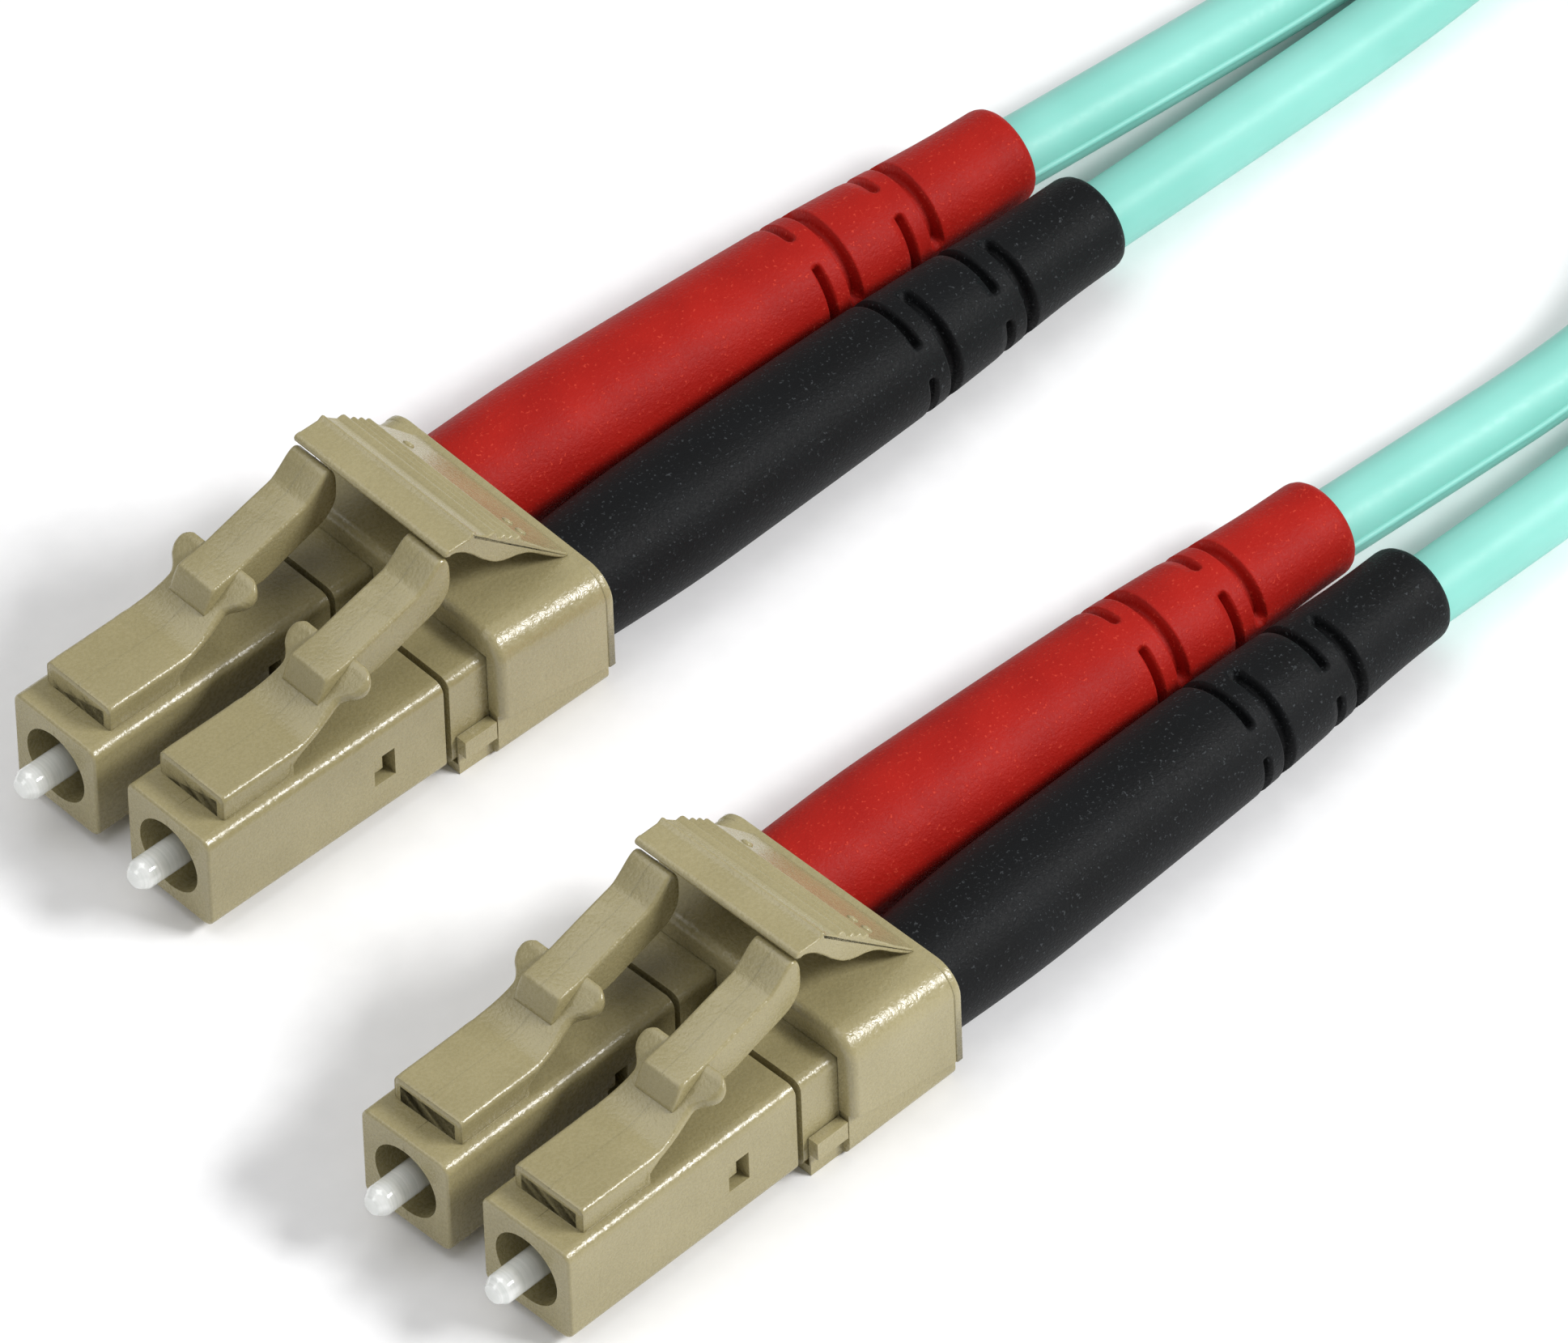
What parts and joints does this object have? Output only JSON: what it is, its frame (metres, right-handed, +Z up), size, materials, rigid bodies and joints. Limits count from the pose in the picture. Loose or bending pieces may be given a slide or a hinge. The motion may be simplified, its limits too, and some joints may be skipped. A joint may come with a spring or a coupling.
{
  "type": "fiber optic patch cord",
  "caption": "Duplex LC to LC multimode fibre optic patch cord: clipped plug pairs with latches, push trigger and strain relief boots, aqua twin cord in a tied coil.",
  "frame": {"origin": "centre of the two plugs' box on the surface they lie on", "axes": "+X from the ferrules towards the boots, +Z up"},
  "size_m": [0.1322, 0.054, 0.0125],
  "materials": {
    "zirconia": "polished",
    "flange_metal": "satin",
    "spring_steel": "satin",
    "beige_plastic": "satin moulded",
    "clip_plastic": "satin moulded",
    "aramid": "fibrous",
    "crimp_metal": "satin",
    "buffer": "matte",
    "red_boot": "matte",
    "black_boot": "matte",
    "aqua_jacket": "satin",
    "tie_fabric": "woven"
  },
  "bodies": {
    "root": {"front_housing_1_red": "beige_plastic", "rear_body_1_red": "beige_plastic", "ferrule_spring_1_red": "spring_steel", "aramid_yarn_1_red": "aramid", "crimp_sleeve_1_red": "crimp_metal", "buffered_fibre_1_red": "buffer", "boot_1_red": "red_boot", "front_housing_1_black": "beige_plastic", "rear_body_1_black": "beige_plastic", "ferrule_spring_1_black": "spring_steel", "aramid_yarn_1_black": "aramid", "crimp_sleeve_1_black": "crimp_metal", "buffered_fibre_1_black": "buffer", "boot_1_black": "black_boot", "clip_shell_1": "clip_plastic", "clip_base_1": "clip_plastic", "front_housing_2_red": "beige_plastic", "rear_body_2_red": "beige_plastic", "ferrule_spring_2_red": "spring_steel", "aramid_yarn_2_red": "aramid", "crimp_sleeve_2_red": "crimp_metal", "buffered_fibre_2_red": "buffer", "boot_2_red": "red_boot", "front_housing_2_black": "beige_plastic", "rear_body_2_black": "beige_plastic", "ferrule_spring_2_black": "spring_steel", "aramid_yarn_2_black": "aramid", "crimp_sleeve_2_black": "crimp_metal", "buffered_fibre_2_black": "buffer", "boot_2_black": "black_boot", "clip_shell_2": "clip_plastic", "clip_base_2": "clip_plastic", "leg_a_start": "aqua_jacket", "leg_b_start": "aqua_jacket", "leg_a_end": "aqua_jacket", "leg_b_end": "aqua_jacket", "cord_coil": "aqua_jacket", "coil_tie": "tie_fabric"},
    "ferrule_assembly_1_red": {"ferrule_1_red": "zirconia", "ferrule_flange_1_red": "flange_metal"},
    "latch_arm_1_red": {"latch_1_red": "beige_plastic"},
    "ferrule_assembly_1_black": {"ferrule_1_black": "zirconia", "ferrule_flange_1_black": "flange_metal"},
    "latch_arm_1_black": {"latch_1_black": "beige_plastic"},
    "push_trigger_1": {"trigger_1": "clip_plastic"},
    "ferrule_assembly_2_red": {"ferrule_2_red": "zirconia", "ferrule_flange_2_red": "flange_metal"},
    "latch_arm_2_red": {"latch_2_red": "beige_plastic"},
    "ferrule_assembly_2_black": {"ferrule_2_black": "zirconia", "ferrule_flange_2_black": "flange_metal"},
    "latch_arm_2_black": {"latch_2_black": "beige_plastic"},
    "push_trigger_2": {"trigger_2": "clip_plastic"}
  },
  "joints": [
    {"name": "ferrule_slide_1_red", "type": "slide", "parent": "root", "child": "ferrule_assembly_1_red", "axis": [1, 0, 0], "range_m": [0, 0.001], "stiffness_N_per_m": 1500, "deforming": ["ferrule_spring_1_red"]},
    {"name": "latch_flex_1_red", "type": "hinge", "parent": "root", "child": "latch_arm_1_red", "pos_m": [-0.01557, 0.01498, 0.00549], "axis": [0, 1, 0], "range_deg": [0, 9], "stiffness_Nm_per_rad": 0.01},
    {"name": "ferrule_slide_1_black", "type": "slide", "parent": "root", "child": "ferrule_assembly_1_black", "axis": [1, 0, 0], "range_m": [0, 0.001], "stiffness_N_per_m": 1500, "deforming": ["ferrule_spring_1_black"]},
    {"name": "latch_flex_1_black", "type": "hinge", "parent": "root", "child": "latch_arm_1_black", "pos_m": [-0.01557, 0.00873, 0.00549], "axis": [0, 1, 0], "range_deg": [0, 9], "stiffness_Nm_per_rad": 0.01},
    {"name": "trigger_flex_1", "type": "hinge", "parent": "root", "child": "push_trigger_1", "pos_m": [-0.00134, 0.01185, 0.00571], "axis": [0, -1, 0], "range_deg": [0, 9], "stiffness_Nm_per_rad": 0.02},
    {"name": "ferrule_slide_2_red", "type": "slide", "parent": "root", "child": "ferrule_assembly_2_red", "axis": [0.999, 0.0436, 0], "range_m": [0, 0.001], "stiffness_N_per_m": 1500, "deforming": ["ferrule_spring_2_red"]},
    {"name": "latch_flex_2_red", "type": "hinge", "parent": "root", "child": "latch_arm_2_red", "pos_m": [-0.02011, -0.00912, 0.00549], "axis": [-0.0436, 0.999, 0], "range_deg": [0, 9], "stiffness_Nm_per_rad": 0.01},
    {"name": "ferrule_slide_2_black", "type": "slide", "parent": "root", "child": "ferrule_assembly_2_black", "axis": [0.999, 0.0436, 0], "range_m": [0, 0.001], "stiffness_N_per_m": 1500, "deforming": ["ferrule_spring_2_black"]},
    {"name": "latch_flex_2_black", "type": "hinge", "parent": "root", "child": "latch_arm_2_black", "pos_m": [-0.01984, -0.01537, 0.00549], "axis": [-0.0436, 0.999, 0], "range_deg": [0, 9], "stiffness_Nm_per_rad": 0.01},
    {"name": "trigger_flex_2", "type": "hinge", "parent": "root", "child": "push_trigger_2", "pos_m": [-0.00576, -0.01162, 0.00571], "axis": [0.0436, -0.999, 0], "range_deg": [0, 9], "stiffness_Nm_per_rad": 0.02}
  ],
  "couplings": [
    {"joint": "latch_flex_1_red", "follows": "trigger_flex_1", "ratio": 1},
    {"joint": "latch_flex_1_black", "follows": "trigger_flex_1", "ratio": 1},
    {"joint": "latch_flex_2_red", "follows": "trigger_flex_2", "ratio": 1},
    {"joint": "latch_flex_2_black", "follows": "trigger_flex_2", "ratio": 1}
  ]
}
